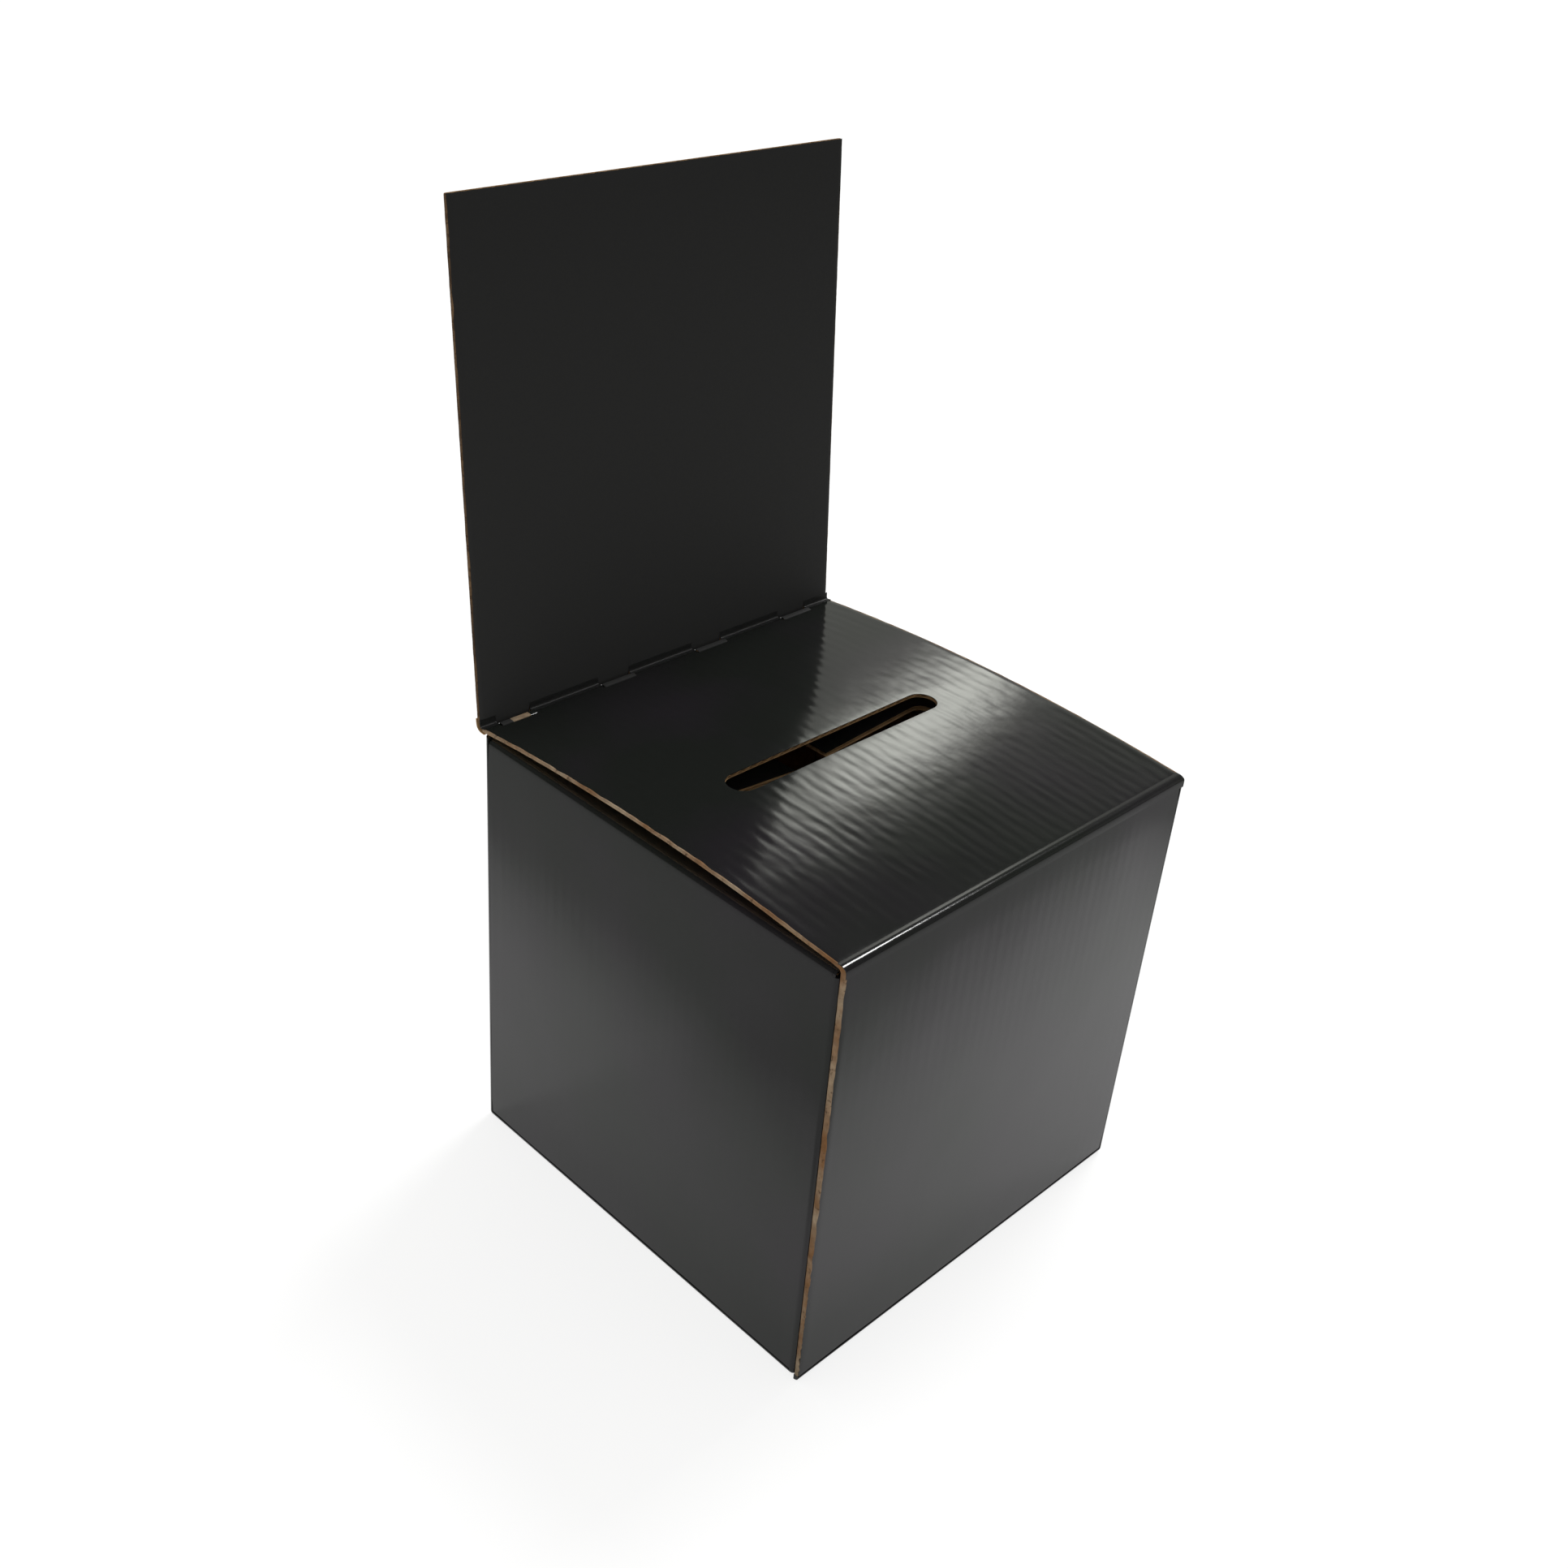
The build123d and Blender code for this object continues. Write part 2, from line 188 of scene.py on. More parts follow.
# The liner rolled over a tab's top, in mm: in front of the wall's rear face, and above the tab
TAB_ROLL = [
    (3.05, -0.5), (3.0, 0.0), (2.6, 0.22), (1.5, 0.32), (0.6, 0.42), (0.2, 0.38), (0.04, 0.1),
    (0.02, -1.2),
]
TAB_ROLL_GAP = 0.08 * MM  # it nearly fills its cut
TAB_TORN = (0.3, 0.82)  # where along the first tab the black liner is torn off it

# The photograph's camera
CAMERA_PLACE = (-0.5311, -0.4558, 0.6426)
CAMERA_TURN_DEG = (59.115, -4.151, -44.483)
CAMERA_LENS_MM = 40.63
CAMERA_SENSOR_MM = 36
CAMERA_SHIFT = (0.0074, -0.0160)

# The studio. Each band is the range of a measure and the two levels that it is carried to.
ROOM_LEVEL = 0.8
ROOM_UP_BAND = (0.46, 0.64, 0.5, 0.08)  # the gloss sees the room pale low down
ROOM_BACK_BAND = (0.0, 0.5, 0.12, 1.0)  # and at the back right
KEY_TOWARDS = (0.54, 0.10, 0.84)  # from the right, high up
KEY_STRENGTH = 1.8
KEY_WIDTH_DEG = 16
WINDOW_ELEVATION = math.radians(29.6)  # the bright window that the lid mirrors
WINDOW_AZIMUTH = math.radians(53.3)  # from the back towards the right
WINDOW_TILT = math.radians(-30.3)
WINDOW_SIZE = (0.047, 0.09)  # how far from its middle it fades, to its sides and to its ends
WINDOW_LEVEL = 6.2
WINDOW_FOOT_BAND = (0.0, 0.1, 0.0, 1.0)  # it begins at the horizon
WINDOW_BLIND_BAND = (0.6, 1.7, 1.0, 0.2)  # a blind dims its lower right side, measured in its sizes
WINDOW_BLIND_SLANT = 1.2
FLOOR_HALF = 6.0
FLOOR_DROP = 0.02 * MM  # how far it lies below the box, so that the two don't meet in one plane
FLOOR_LIFT = 0.8  # how much the camera sees it lifted
FLOOR_PAINTED_POOL_LEVEL = 0.62  # how bright the painted pool of light is that the gloss sees on it, where it is brightest round the box
FLOOR_PAINTED_POOL_RING = 0.189  # how far from the box's middle that is, to the left and to the front
FLOOR_PAINTED_POOL_FADE = 55.0  # how fast that painted light darkens from there, by the distance squared
FLOOR_PAINTED_SHADE_NEAR_SHARE = 0.75  # how much slower it darkens towards the box, a painted shade close to the box
FLOOR_REACH = (  # how far it reaches: a slope and a start to each side, in X and in Y
    ((-1.0, 0.0), (0.6, 0.05)),
    ((-1.0, 0.0), (0.5, 0.06)),
)
FLOOR_PAINTED_RISE = (1.05, 0.7)  # how much brighter the painted pool is for each metre to the right and to the back
FLOOR_SPAN = (0.12, 1.05)  # the least and the most

X_AXIS = Vector((1, 0, 0))
Y_AXIS = Vector((0, 1, 0))
Z_AXIS = Vector((0, 0, 1))
SMOOTH_ANGLE = math.radians(40)


# Small helpers for node trees

MATH = "ShaderNodeMath"
VECTOR_MATH = "ShaderNodeVectorMath"
SPLIT = "ShaderNodeSeparateXYZ"
RANGE = "ShaderNodeMapRange"  # a value, the range that it comes from, and the one that it goes to
MIX = "ShaderNodeMix"
NOISE = "ShaderNodeTexNoise"
BUMP = "ShaderNodeBump"
DIFFUSE = "ShaderNodeBsdfDiffuse"
BACKGROUND = "ShaderNodeBackground"


def linear(colour):
    """The linear colour, with alpha, of an sRGB hex colour such as "1c1c1b"."""
    values = [int(colour[k:k + 2], 16) / 255 for k in (0, 2, 4)]
    return tuple(v / 12.92 if v <= 0.04045 else ((v + 0.055) / 1.055) ** 2.4 for v in values) + (1.0,)


def give(tree, node, inputs):
    """Sets or links a node's inputs, by name or in their order. A node gives its first output."""
    pairs = inputs.items() if isinstance(inputs, dict) else enumerate(inputs)
    for name, value in pairs:
        if isinstance(value, bpy.types.Node):
            value = value.outputs[0]
        if isinstance(value, bpy.types.NodeSocket):
            tree.links.new(value, node.inputs[name])
        else:
            node.inputs[name].default_value = value


def add(tree, kind, inputs=(), **settings):
    """Adds one node with its settings and its inputs."""
    made = tree.nodes.new(kind)
    for name, value in settings.items():
        setattr(made, name, value)
    give(tree, made, inputs)
    return made


def empty_tree(owner):
    """The node tree of a material or a world, with nothing in it."""
    owner.use_nodes = True
    owner.node_tree.nodes.clear()
    return owner.node_tree


def new_material(name):
    """A material with its tree, its surface shader and its object coordinates."""
    made = bpy.data.materials.new(name)
    tree = empty_tree(made)
    shader = add(tree, "ShaderNodeBsdfPrincipled")
    add(tree, "ShaderNodeOutputMaterial", {"Surface": shader})
    place = add(tree, "ShaderNodeTexCoord").outputs["Object"]
    return made, tree, shader, place


def pattern(tree, place, size, detail=2.0, stretch=(1, 1, 1), rough=0.5):
    """Noise whose features are about size metres across, longer or shorter along each axis by stretch."""
    scaled = add(tree, "ShaderNodeMapping", {"Vector": place, "Scale": [1 / s for s in stretch]})
    return add(tree, NOISE, {"Vector": scaled, "Scale": 1 / size, "Detail": detail, "Roughness": rough})


def two_tone(tree, value, low, high, first, second):
    """One hex colour where a value is low, another where it is high, and a blend of them between."""
    share = add(tree, RANGE, (value, low, high, 0, 1))
    return add(tree, MIX, {0: share, 6: linear(first), 7: linear(second)}, data_type="RGBA").outputs[2]


def seen_as_background(tree):
    """One for camera, glossy and transmission rays, and whether it is a camera ray."""
    path = add(tree, "ShaderNodeLightPath").outputs
    mirrored = add(tree, MATH, (path["Is Glossy Ray"], path["Is Transmission Ray"]), operation="MAXIMUM")
    seen = add(tree, MATH, (path["Is Camera Ray"], mirrored), operation="MAXIMUM")
    return seen, path["Is Camera Ray"]


# Materials

def varnished_black():
    """Outer liner: black ink under a gloss varnish, which mirrors softly, with a faint orange peel."""
    made, tree, shader, place = new_material("varnished_black_liner")
    mottle = pattern(tree, place, 14 * MM, 3)
    tint = pattern(tree, place, 90 * MM, 3)
    grain = pattern(tree, place, 1.6 * MM, 2)
    scuff = pattern(tree, place, 38 * MM, 4)
    peel = add(tree, BUMP, {"Height": grain, "Distance": 0.004 * MM})
    give(tree, shader, {
        "Base Color": two_tone(tree, tint, 0.4, 0.6, "181a18", "1d1b1e"),
        "Roughness": add(tree, RANGE, (scuff, 0.3, 0.7, 0.1, 0.135)),
        "Normal": add(tree, BUMP, {"Height": mottle, "Distance": 0.03 * MM, "Normal": peel}),
        "IOR": 1.5,
    })
    return made


def matt_black():
    """Header face: the same black ink with a dull, even sealer, which hardly mirrors. Its colour is
    painted lighter towards the bottom: painted light that evens out the shade falling there.
    """
    made, tree, shader, place = new_material("matt_black_liner")
    grain = pattern(tree, place, 1.2 * MM, 2)
    # The height drives a painted light: the colour runs from lighter low down to darker high up, making up
    # for the shade on the header's lower part
    height = add(tree, SPLIT, (place,)).outputs[2]
    give(tree, shader, {
        "Base Color": two_tone(tree, height, 0.24, 0.46, "2e2e2e", "232323"),
        "Roughness": add(tree, RANGE, (grain, 0.3, 0.7, 0.55, 0.65)),
        "Normal": add(tree, BUMP, {"Height": grain, "Distance": 0.01 * MM}),
        "Specular IOR Level": 0.08,
    })
    return made


def creased_black():
    """The same ink where a fold has cracked its varnish: duller, with a rough, broken sheen."""
    made, tree, shader, place = new_material("creased_black_liner")
    crack = pattern(tree, place, 1.5 * MM, 3, rough=0.6)
    give(tree, shader, {
        "Base Color": two_tone(tree, crack, 0.35, 0.65, "171817", "222222"),
        "Roughness": add(tree, RANGE, (crack, 0.3, 0.7, 0.38, 0.55)),
        "Normal": add(tree, BUMP, {"Height": crack, "Distance": 0.05 * MM}),
        "Specular IOR Level": 0.3,
    })
    return made


def brown_paper(name, light, dark, fleck_share):
    """Unbleached kraft paper: matt and fibrous, with short fibres, darker flecks and cloudy formation."""
    made, tree, shader, place = new_material(name)
    cloud = pattern(tree, place, 9 * MM, 4, rough=0.6)
    fibre = pattern(tree, place, 0.9 * MM, 3, stretch=(1, 3.5, 3.5), rough=0.6)
    fleck = pattern(tree, place, 2.2 * MM, 2)
    tone = two_tone(tree, cloud, 0.3, 0.7, dark, light)
    flecks = add(tree, RANGE, (fleck, fleck_share, fleck_share + 0.05, 0, 0.45))
    flecked = add(tree, MIX, {0: flecks, 6: tone, 7: linear("5a4026")}, data_type="RGBA")
    fuzz = add(tree, BUMP, {"Height": fibre, "Distance": 0.06 * MM})
    give(tree, shader, {
        "Base Color": flecked.outputs[2],
        "Roughness": add(tree, RANGE, (fibre, 0.3, 0.7, 0.75, 0.92)),
        "Normal": add(tree, BUMP, {"Height": cloud, "Distance": 0.1 * MM, "Normal": fuzz}),
        "Specular IOR Level": 0.3,
    })
    return made


def cut_board(name, dark, light, dirt_share):
    """Die-cut edge: torn, pressed brown paper, pale where fibres lie open and dark where ink got in."""
    made, tree, shader, place = new_material(name)
    streak = pattern(tree, place, 4 * MM, 3, rough=0.7)
    run = pattern(tree, place, 22 * MM, 3, rough=0.6)
    dirt = pattern(tree, place, 2.4 * MM, 3, rough=0.6)
    tone = two_tone(tree, run, 0.36, 0.64, dark, light)
    streaks = add(tree, RANGE, (streak, 0.35, 0.65, 0.35, 0))
    spots = add(tree, RANGE, (dirt, dirt_share, dirt_share + 0.1, 0, 0.8))
    shade = add(tree, MATH, (streaks, spots), operation="MAXIMUM")
    inked = add(tree, MIX, {0: shade, 6: tone, 7: linear("3a2717")}, data_type="RGBA")
    give(tree, shader, {
        "Base Color": inked.outputs[2],
        "Normal": add(tree, BUMP, {"Height": streak, "Distance": 0.15 * MM}),
        "Roughness": 0.88,
        "Specular IOR Level": 0.25,
    })
    return made


def hot_glue():
    """Seam glue: a thin translucent film of amber hot-melt glue."""
    made, tree, shader, place = new_material("seam_glue_film")
    cloud = pattern(tree, place, 5 * MM, 2)
    give(tree, shader, {
        "Base Color": two_tone(tree, cloud, 0, 1, "b79a62", "d0b984"), "Roughness": 0.35})
    return made


def pale_floor():
    """The table: plain white, with the box's shadow. The camera sees it evenly lifted to white; the gloss
    sees on it a painted pool of light round the box, painted darker close to the box and brighter to the
    right and the back.
    """
    made = bpy.data.materials.new("pale_floor")
    tree = empty_tree(made)
    seen, by_camera = seen_as_background(tree)
    place = add(tree, "ShaderNodeTexCoord").outputs["Object"]
    rise = add(tree, VECTOR_MATH, (place, (*FLOOR_PAINTED_RISE, 0)), operation="DOT_PRODUCT").outputs["Value"]

    # How far a place is from the box, and from the painted ring of light round it, inside which the floor
    # is painted darker towards the box
    apart = add(tree, SPLIT, (place,)).outputs
    away = 0.0
    for value, sides in zip(apart, FLOOR_REACH):
        for slope, start in sides:
            reach = add(tree, MATH, (value, slope), operation="MULTIPLY")
            reach = add(tree, MATH, (reach, start), operation="ADD")
            away = add(tree, MATH, (away, reach), operation="MAXIMUM")
    off = add(tree, MATH, (away, FLOOR_PAINTED_POOL_RING), operation="SUBTRACT")
    near = add(tree, MATH, (off, -FLOOR_PAINTED_SHADE_NEAR_SHARE), operation="MULTIPLY")
    off = add(tree, MATH, (off, near), operation="MAXIMUM")
    painted_pool_fade = add(tree, MATH, (off, off), operation="MULTIPLY")
    painted_pool_fade = add(tree, MATH, (painted_pool_fade, FLOOR_PAINTED_POOL_FADE), operation="MULTIPLY")
    level = add(tree, MATH, (rise, FLOOR_PAINTED_POOL_LEVEL), operation="ADD")
    level = add(tree, MATH, (level, painted_pool_fade), operation="SUBTRACT")
    level = add(tree, RANGE, (level, *FLOOR_SPAN, *FLOOR_SPAN))

    # The camera sees an even lift; the gloss sees the painted pool of light and shade
    lift_and_painted_pool_level = add(tree, MIX, {0: by_camera, 2: level, 3: FLOOR_LIFT}, data_type="FLOAT")
    plain = add(tree, DIFFUSE, {"Color": linear("f2f2f1")})
    dim = add(tree, DIFFUSE, {"Color": linear("808080")})
    lift = add(tree, "ShaderNodeEmission", {"Color": linear("ffffff"), "Strength": lift_and_painted_pool_level})
    lifted = add(tree, "ShaderNodeAddShader", (dim, lift))
    surface = add(tree, "ShaderNodeMixShader", (seen, plain, lifted))
    add(tree, "ShaderNodeOutputMaterial", {"Surface": surface})
    return made


BLACK = varnished_black()
MATT = matt_black()
CREASED = creased_black()
KRAFT = brown_paper("kraft_inner_liner", "b08e66", "9c7b55", 0.68)
FLUTING = brown_paper("fluted_paper", "a5835c", "8c6c49", 0.7)
EDGE = cut_board("cut_board_edge", "73502f", "92806a", 0.58)
HEADER_EDGE = cut_board("inky_board_edge", "3a2c20", "6e563d", 0.5)
GLUE = hot_glue()


# Meshes

def placed(name, data):
    """A new object in the scene."""
    made = bpy.data.objects.new(name, data)
    bpy.context.collection.objects.link(made)
    return made


def finished(name, mesh, material):
    """A piece from its mesh, shaded smooth apart from its sharp edges."""
    mesh.materials.clear()
    mesh.materials.append(material)
    mesh.name = name
    mesh.shade_smooth()
    mesh.set_sharp_from_angle(angle=SMOOTH_ANGLE)
    return placed(name, mesh)


def mesh_object(name, points, faces, material):
    """A piece from its points and faces."""
    mesh = bpy.data.meshes.new(name)
    mesh.from_pydata([tuple(p) for p in points], [], faces)
    return finished(name, mesh, material)


def points_of(mesh):
    values = np.empty(len(mesh.vertices) * 3)
    mesh.vertices.foreach_get("co", values)
    return values.reshape(-1, 3)


def set_points(mesh, values):
    mesh.vertices.foreach_set("co", np.asarray(values, float).ravel())
    mesh.update()


def flattened(source):
    """A plain mesh of what an object's modifiers make. The object itself is removed."""
    shown = source.evaluated_get(bpy.context.evaluated_depsgraph_get())
    mesh = bpy.data.meshes.new_from_object(shown)
    old = source.data
    bpy.data.objects.remove(source)
    bpy.data.meshes.remove(old)
    return mesh


def fluted_ply_tree():
    """A tree that makes one ply of corrugated board: a closed sheet, wavy across its flutes."""
    tree = bpy.data.node_groups.new("fluted_ply", "GeometryNodeTree")
    sockets = {
        "Float": ("Width", "Length", "Relief", "Base", "Thickness", "Unevenness", "Wobble", "Seed"),
        "Int": ("Flutes", "Samples", "Rows"),
        "Material": ("Material",),
    }
    names = {}
    for kind, inputs in sockets.items():
        for name in inputs:
            made = tree.interface.new_socket(name, in_out="INPUT", socket_type="NodeSocket" + kind)
            names[name] = made.identifier
    tree.interface.new_socket("Geometry", in_out="OUTPUT", socket_type="NodeSocketGeometry")
    given = add(tree, "NodeGroupInput").outputs

    # A flat grid round the origin
    across = add(tree, MATH, (given["Flutes"], given["Samples"]), operation="MULTIPLY")
    across = add(tree, MATH, (across, 1.0), operation="ADD")
    along = add(tree, MATH, (given["Rows"], 1.0), operation="ADD")
    grid = add(tree, "GeometryNodeMeshGrid", (given["Width"], given["Length"], across, along))
    place = add(tree, "GeometryNodeInputPosition")

    # One wave for each flute
    apart = add(tree, SPLIT, (place,))
    share = add(tree, MATH, (apart, given["Width"]), operation="DIVIDE")
    share = add(tree, MATH, (share, 0.5), operation="ADD")
    turns = add(tree, MATH, (share, given["Flutes"]), operation="MULTIPLY")
    turns = add(tree, MATH, (turns, 2 * math.pi), operation="MULTIPLY")
    wave = add(tree, MATH, (turns,), operation="COSINE")
    wave = add(tree, MATH, (1.0, wave), operation="SUBTRACT")
    wave = add(tree, MATH, (wave, 0.5), operation="MULTIPLY")

    # The waves are deeper in some places than in others
    uneven = add(tree, NOISE, {
        "Vector": place, "W": given["Seed"], "Scale": 1 / RELIEF_PATCH, "Detail": 2.0,
    }, noise_dimensions="4D")
    swing = add(tree, MATH, (uneven, 0.5), operation="SUBTRACT")
    swing = add(tree, MATH, (swing, given["Unevenness"]), operation="MULTIPLY")
    swing = add(tree, MATH, (1.0, swing), operation="ADD")
    depth = add(tree, MATH, (given["Relief"], swing), operation="MULTIPLY")
    height = add(tree, MATH, (wave, depth), operation="MULTIPLY")

    # The liner's own ripples, which run along the flutes and only sink it
    stretched = add(tree, VECTOR_MATH, (place, (1, RIPPLE_STRETCH, 1)), operation="MULTIPLY")
    ripple = add(tree, NOISE, {
        "Vector": stretched, "W": given["Seed"], "Scale": 1 / RIPPLE, "Detail": 1.0,
    }, noise_dimensions="4D")
    sunk = add(tree, MATH, (ripple, 1.0), operation="SUBTRACT")
    sunk = add(tree, MATH, (sunk, given["Wobble"]), operation="MULTIPLY")
    level = add(tree, MATH, (height, sunk), operation="ADD")
    level = add(tree, MATH, (level, given["Base"]), operation="ADD")

    # The grid, with its corner at the origin, is thickened upwards and closed
    half_x = add(tree, MATH, (given["Width"], 0.5), operation="MULTIPLY")
    half_y = add(tree, MATH, (given["Length"], 0.5), operation="MULTIPLY")
    shift = add(tree, "ShaderNodeCombineXYZ", (half_x, half_y, level))
    lower = add(tree, "GeometryNodeSetPosition", {"Geometry": grid, "Offset": shift})
    upper = add(tree, "GeometryNodeExtrudeMesh", {
        "Mesh": lower, "Offset": (0, 0, 1), "Offset Scale": given["Thickness"], "Individual": False})
    under = add(tree, "GeometryNodeFlipFaces", (lower,))
    both = add(tree, "GeometryNodeJoinGeometry")
    for side in (under, upper):
        tree.links.new(side.outputs[0], both.inputs[0])
    closed = add(tree, "GeometryNodeMergeByDistance", {0: both, "Distance": 0.001 * MM})
    real = add(tree, "GeometryNodeRealizeInstances", (closed,))
    coloured = add(tree, "GeometryNodeSetMaterial", {0: real, "Material": given["Material"]})
    add(tree, "NodeGroupOutput", (coloured,))
    return tree, names


PLY_TREE, PLY_INPUTS = fluted_ply_tree()


def ply_mesh(material, **sizes):
    """One flat ply from the tree: flutes along Y, its corner at the origin, Z through the board."""
    source = placed("ply", bpy.data.meshes.new("ply"))
    modifier = source.modifiers.new("ply", "NODES")
    modifier.node_group = PLY_TREE
    for name, value in {**sizes, "Material": material}.items():
        modifier[PLY_INPUTS[name]] = value
    return flattened(source)


def cut_mesh(mesh, material, tools):
    """The mesh with each closed tool mesh taken away."""
    if not tools:
        return mesh
    target = placed("cut", mesh)
    made = []
    for points, faces in tools:
        tool = mesh_object("tool", points, faces, material)
        modifier = target.modifiers.new("cut", "BOOLEAN")
        modifier.operation = "DIFFERENCE"
        modifier.solver = "MANIFOLD"
        modifier.object = tool
        made.append(tool)
    result = flattened(target)
    for tool in made:
        bpy.data.meshes.remove(tool.data)
    return result


def loft(name, rings, material):
    """A piece through rings of equally many points, each ring closed, with its ends capped."""
    rings = [np.asarray(ring, float) for ring in rings]
    count = len(rings[0])
    faces = []
    for row in range(len(rings) - 1):
        for k in range(count):
            a, b = row * count + k, row * count + (k + 1) % count
            faces.append((a, b, b + count, a + count))
    last = (len(rings) - 1) * count
    faces.append(tuple(range(count))[::-1])
    faces.append(tuple(last + k for k in range(count)))
    mesh = bpy.data.meshes.new(name)
    mesh.from_pydata([tuple(p) for p in np.concatenate(rings)], [], faces)
    shape = bmesh.new()
    shape.from_mesh(mesh)
    bmesh.ops.recalc_face_normals(shape, faces=shape.faces)
    shape.to_mesh(mesh)
    shape.free()
    return finished(name, mesh, material)


def joined(name, pieces):
    """Several pieces of one finish as one piece."""
    shape = bmesh.new()
    for piece in pieces:
        shape.from_mesh(piece.data)
    material = pieces[0].data.materials[0]
    for piece in pieces:
        bpy.data.meshes.remove(piece.data)
    mesh = bpy.data.meshes.new(name)
    shape.to_mesh(mesh)
    shape.free()
    return finished(name, mesh, material)


# Tools that cut the flat plies

def prism(outline):
    """A closed prism through the board, over an outline that runs anticlockwise."""
    count = len(outline)
    points = [(x, y, TOOL_LOW) for x, y in outline] + [(x, y, TOOL_HIGH) for x, y in outline]
    faces = [list(range(count))[::-1], [count + k for k in range(count)]]
    faces += [[k, (k + 1) % count, count + (k + 1) % count, count + k] for k in range(count)]
    return points, faces


def rectangle(x, y):
    return prism([(x[0], y[0]), (x[1], y[0]), (x[1], y[1]), (x[0], y[1])])


def rounded_bar(x, y, radius, steps=12):
    """A prism between two values of x and of y, with rounded corners."""
    outline = []
    for k in range(4):
        cx = x[1] - radius if k in (0, 3) else x[0] + radius
        cy = y[1] - radius if k in (0, 1) else y[0] + radius
        for step in range(steps + 1):
            turn = math.pi / 2 * (k + step / steps)
            outline.append((cx + radius * math.cos(turn), cy + radius * math.sin(turn)))
    return prism(outline)


def cut_edges(gap, start, end):
    """Places along a row of the box's width: its ends, and both sides of what stands in each cut."""
    edges = [start]
    for cut in CUT_STARTS:
        edges += [cut + gap, cut + CUT_LENGTH - gap]
    return edges + [end]


def spans_of(edges):
    """The spans between the cuts, from each pair of edges."""
    return list(zip(edges[::2], edges[1::2]))


# Panels: where each one lies, read from the frame

def joint_place(name):
    return next(j for j in frame["joints"] if j["name"] == name)["pos_m"]


class Panel:
    """A panel's own frame: X across its flutes, Y along them, Z from its inner to its printed face."""

    def __init__(self, name, flutes, outward, pivot=None, turn=0.0, about=X_AXIS,
                 cut_sides="", crush=CRUSH):
        self.name = name
        self.cut_sides = cut_sides
        self.crush = crush
        self.hole = None
        self.axes = np.array([flutes.cross(outward), flutes, outward])
        self.pivot = np.array(pivot if pivot else (0, 0, 0), float)
        self.turn = np.array(Matrix.Rotation(turn, 3, about))
        points = np.concatenate([
            points_of(frame["nodes"][name + "_" + kind].data)
            for kind in ("outer_liner", "fluting", "inner_liner")])
        points = (points - self.pivot) @ self.turn + self.pivot
        own = points @ self.axes.T
        self.corner = own.min(0) @ self.axes
        self.width, self.length, self.board = own.max(0) - own.min(0)

    def place(self, points):
        flat = points @ self.axes + self.corner
        return (flat - self.pivot) @ self.turn.T + self.pivot


class Lid(Panel):
    """The lid's frame, bowed along its flutes on the circle that its two ends and its crown give."""

    def __init__(self):
        super().__init__("lid", Y_AXIS, Z_AXIS, cut_sides="lr", crush=LID_CRUSH)
        low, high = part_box("lid_outer_liner")
        self.board = BOARD
        half = (high.y - low.y) / 2
        crown = high.z - (joint_place("lid_hinge")[2] + BOARD / 2)
        self.radius = (half**2 + crown**2) / (2 * crown)
        self.middle = ((low.y + high.y) / 2, high.z - self.radius)
        self.half_turn = math.asin(half / self.radius)
        self.length = 2 * half
        self.left = low.x

    def along(self, y):
        """How far along the flutes, in the flat panel, a place at world y is."""
        turn = math.asin((y - self.middle[0]) / self.radius)
        return self.length * (0.5 + turn / (2 * self.half_turn))

    def place(self, points):
        turn = self.half_turn * (2 * points[:, 1] / self.length - 1)
        radius = self.radius - self.board + points[:, 2]
        x = self.left + points[:, 0]
        y = self.middle[0] + radius * np.sin(turn)
        return np.stack([x, y, self.middle[1] + radius * np.cos(turn)], 1)


def slow_noise(points, size, seed):
    """Smooth noise between -1 and 1 at each point, with features about size metres across."""
    values = [noise.noise(Vector(p) / size + Vector((seed, seed * 0.7, 0))) for p in points]
    return np.clip(values, -1, 1)


def nearness(reach):
    """From one at an edge down to zero where the board has its full thickness again."""
    return np.clip(1 - reach / CRUSH_REACH, 0, 1)


def crushed(points, panel, seed):
    """The ply's points with the board pressed thin at its sides, and its surface wandering slightly."""
    result = points.copy()
    ends = nearness(np.minimum(points[:, 1], panel.length - points[:, 1])) ** 2
    reach = np.full(len(points), CRUSH_REACH)
    for side, inwards, inside in (("l", 1, points[:, 0]), ("r", -1, panel.width - points[:, 0])):
        if side in panel.cut_sides:
            result[:, 0] += inwards * EDGE_SETBACK * nearness(inside)
            reach = np.minimum(reach, inside)
    sides = nearness(reach) ** 2
    wander = slow_noise(points * (1, 1, 0), WARP_PATCH, seed)
    middle = panel.board / 2
    height = points[:, 2] - middle
    lost = np.maximum(sides * np.where(height > 0, *panel.crush), ends * CRUSH_SHARE)
    lost = lost * (1 + CRUSH_SPREAD * wander)
    if panel.hole:
        hole_x, hole_y, straight, radius = panel.hole
        beside = np.maximum(abs(points[:, 0] - hole_x) - straight, 0)
        rim = nearness(np.hypot(beside, points[:, 1] - hole_y) - radius) ** 2
        lost = np.maximum(lost, rim * np.where(height > 0, *SLOT_CRUSH))
    height = height * (1 - lost)
    result[:, 2] = middle + height - WARP * (0.5 + 0.5 * wander) * np.sign(height)
    return result


